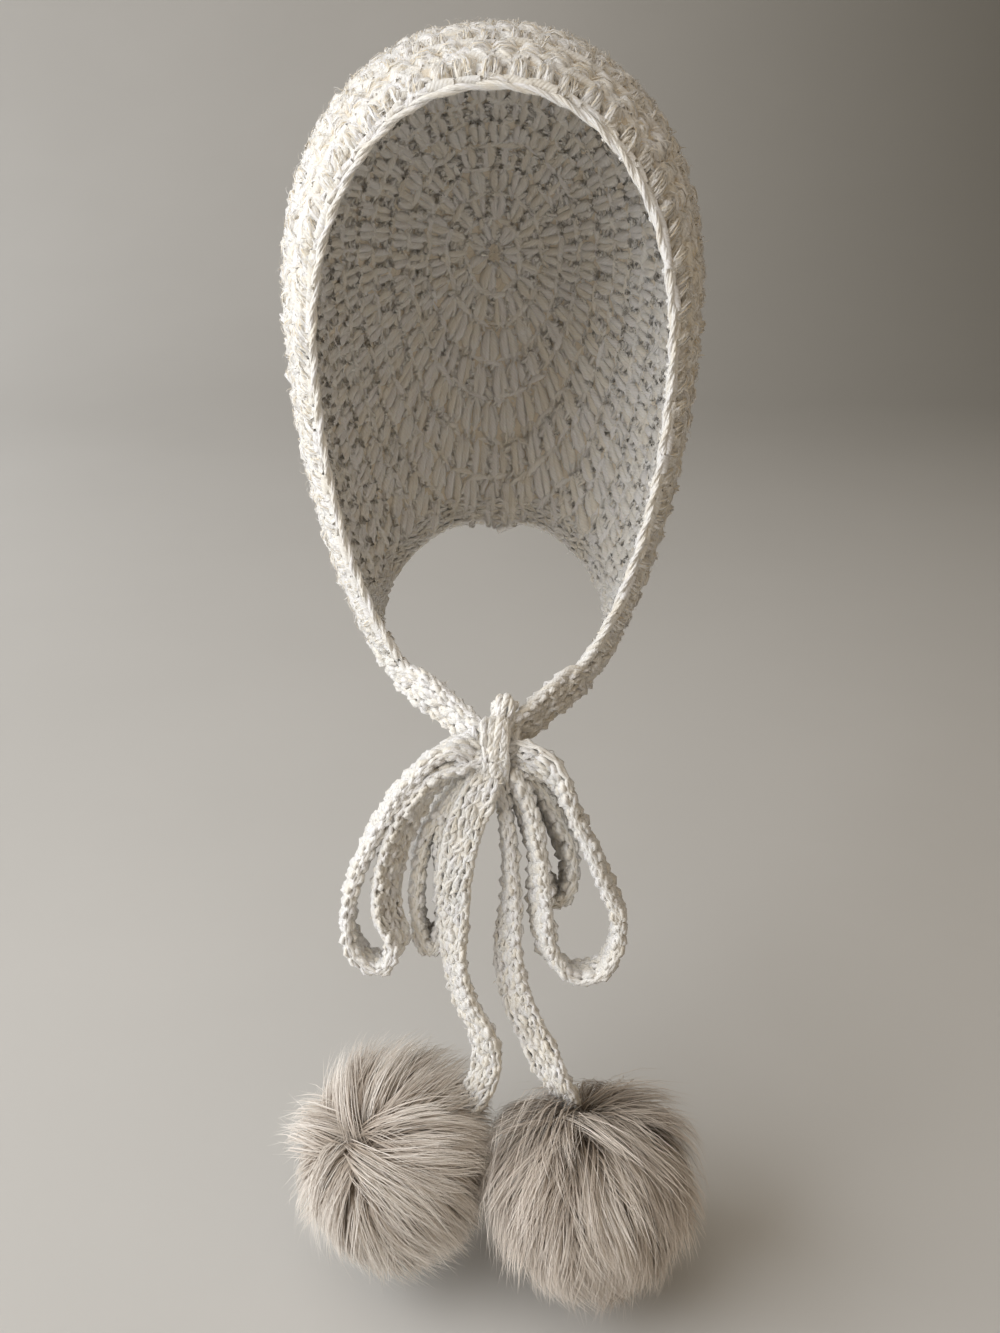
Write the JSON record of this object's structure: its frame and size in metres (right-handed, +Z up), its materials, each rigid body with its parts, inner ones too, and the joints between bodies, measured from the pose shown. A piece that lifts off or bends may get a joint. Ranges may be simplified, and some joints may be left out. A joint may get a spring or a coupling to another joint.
{
  "type": "crochet bonnet",
  "caption": "Crocheted hood open at the face and neck, with a braided face edging, a neck band with ties in a bow, and a fur pompom on each tie end.",
  "frame": {"origin": "inner top of the crown, where the bonnet sits on the head", "axes": "+Z up; the face opening looks along -Y; +X towards the wearer's left, right in the picture"},
  "size_m": [0.1666, 0.267, 0.4866],
  "materials": {
    "yarn": "crocheted ivory yarn, slightly shiny",
    "fur": "long taupe faux fur with pale tips"
  },
  "bodies": {
    "root": {"hood_shell": "yarn", "face_edging": "yarn", "neck_band": "yarn", "tie_left": "yarn", "tie_right": "yarn", "bow_knot": "yarn", "bow_loops_left": "yarn", "bow_loops_right": "yarn", "tail_left": "yarn", "tail_right": "yarn", "pompom_left": "fur", "pompom_right": "fur"}
  },
  "joints": []
}
